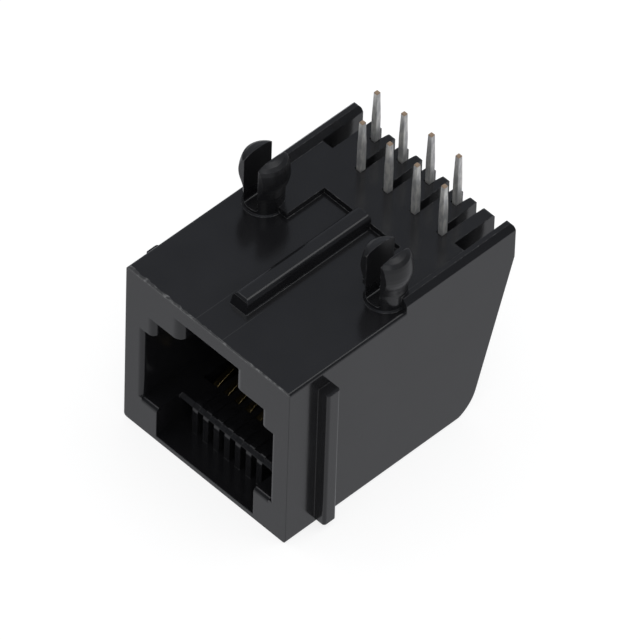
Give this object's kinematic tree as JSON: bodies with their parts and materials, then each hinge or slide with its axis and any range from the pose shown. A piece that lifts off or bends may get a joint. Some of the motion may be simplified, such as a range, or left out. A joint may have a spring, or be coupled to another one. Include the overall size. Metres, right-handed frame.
{
  "type": "rj45 board jack",
  "caption": "Moulded modular jack for a circuit board: stepped plug port, inner and rear combs, split snap pegs, rails and staggered wire pins.",
  "frame": {"origin": "midway between the two snap pegs, on the plane the circuit board rests on (the top of the middle rib and the two rails)", "axes": "+Z out of the board side, along the pegs and pins; -Y towards the mouth the plug enters; +X across, with the mouth facing the viewer to the right. As modelled the jack lies on its far face with its pins up; it is turned over to sit on a board."},
  "size_m": [0.0172, 0.0204, 0.0196],
  "materials": {
    "housing": "fine moulded texture, black",
    "contact": "tinned pins, gold at the spring end, bare sheared tips"
  },
  "bodies": {
    "root": {"housing": "housing", "contact_1": "contact", "contact_2": "contact", "contact_3": "contact", "contact_4": "contact", "contact_5": "contact", "contact_6": "contact", "contact_7": "contact", "contact_8": "contact"}
  },
  "joints": []
}
